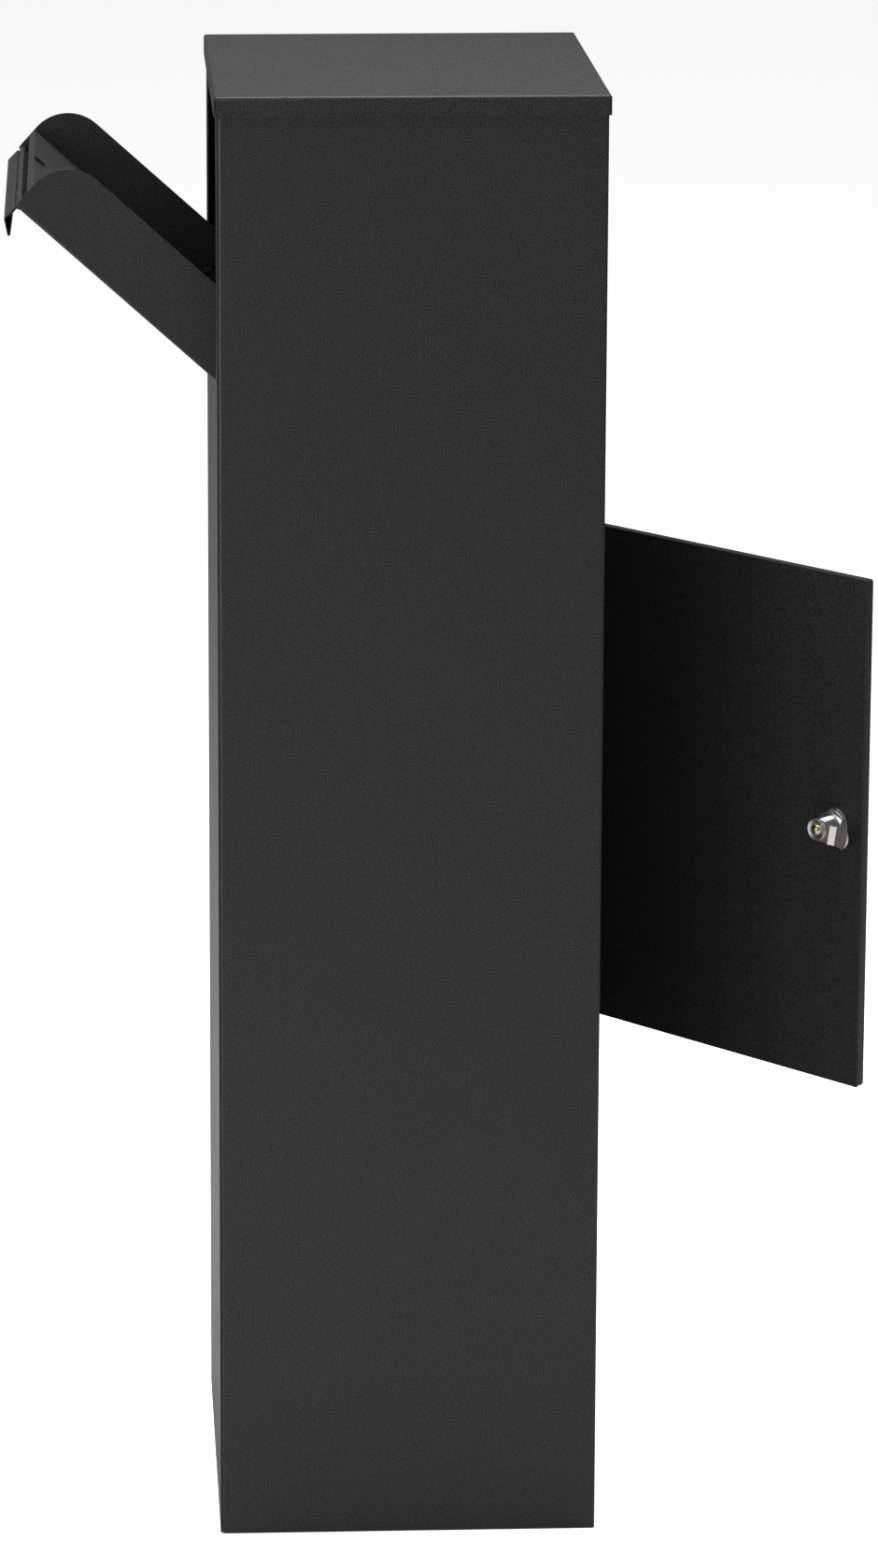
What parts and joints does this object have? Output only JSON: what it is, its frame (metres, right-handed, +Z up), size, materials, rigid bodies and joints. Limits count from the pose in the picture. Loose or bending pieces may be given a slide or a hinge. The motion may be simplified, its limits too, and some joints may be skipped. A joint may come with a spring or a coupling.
{
  "type": "parcel drop box",
  "caption": "Tall floor-standing steel parcel drop box with a tilting front hopper, a hinged letter flap and a cam-locked rear collection door.",
  "frame": {"origin": "centre of the base plate's underside, on the ground", "axes": "+Z up, -Y out of the front with the hopper, +Y out of the rear with the door, +X towards the side panel on the lock side of the door"},
  "size_m": [0.364, 0.7207, 1.22],
  "materials": {
    "powder_coat": "black fine-texture powder coat",
    "zinc_plate": "bright zinc plate",
    "nickel_plate": "polished nickel plate",
    "yellow_zinc": "yellow-passivated zinc",
    "rubber": "moulded black rubber"
  },
  "bodies": {
    "cabinet": {"side_panel_right": "powder_coat", "side_panel_left": "powder_coat", "front_panel": "powder_coat", "rear_panel_upper": "powder_coat", "rear_panel_lower": "powder_coat", "door_frame": "powder_coat", "base_plate": "powder_coat", "top_cap": "powder_coat", "cap_brackets": "powder_coat", "cap_studs": "zinc_plate", "cap_nuts": "zinc_plate", "hinge_rail": "powder_coat", "security_baffle": "powder_coat", "hopper_hinge_fixed_leaf": "powder_coat", "hopper_hinge_pin": "zinc_plate", "hopper_rest_brackets": "powder_coat", "hopper_rest_pads": "rubber", "hopper_stop_pads": "rubber", "door_hinge_fixed_leaf": "powder_coat", "door_hinge_pin": "zinc_plate", "lock_keeper": "powder_coat", "door_bumpers": "rubber"},
    "hopper": {"hopper_shell": "powder_coat", "hopper_floor": "powder_coat", "hopper_hinge_moving_leaf": "powder_coat", "stop_bar_right": "powder_coat", "stop_bar_left": "powder_coat", "stop_bar_rivets": "powder_coat", "stop_studs": "zinc_plate", "flap_hinge_fixed_leaf": "powder_coat", "flap_hinge_pin": "zinc_plate"},
    "flap": {"mail_flap": "powder_coat", "flap_hinge_moving_leaf": "powder_coat"},
    "door": {"door_outer_skin": "powder_coat", "door_inner_panel": "powder_coat", "door_stiffener": "zinc_plate", "door_hinge_moving_leaf": "powder_coat", "lock_body": "nickel_plate", "lock_washer": "zinc_plate", "lock_nut": "nickel_plate"},
    "cam": {"lock_plug": "nickel_plate", "lock_cam": "nickel_plate", "cam_washer": "zinc_plate", "cam_screw": "yellow_zinc"}
  },
  "joints": [
    {"name": "hopper_hinge", "type": "hinge", "parent": "cabinet", "child": "hopper", "pos_m": [0, -0.155, 0.984], "axis": [1, 0, 0], "range_deg": [-48, 0]},
    {"name": "flap_hinge", "type": "hinge", "parent": "hopper", "child": "flap", "pos_m": [0, -0.31514, 1.12671], "axis": [1, 0, 0], "range_deg": [-25, 61]},
    {"name": "door_hinge", "type": "hinge", "parent": "cabinet", "child": "door", "pos_m": [-0.1754, 0.158, 0.575], "axis": [0, 0, 1], "range_deg": [-43, 72]},
    {"name": "lock_turn", "type": "hinge", "parent": "door", "child": "cam", "pos_m": [0.07673, 0.34936, 0.58], "axis": [-0.682, 0.7314, 0], "range_deg": [-22, 80]}
  ]
}
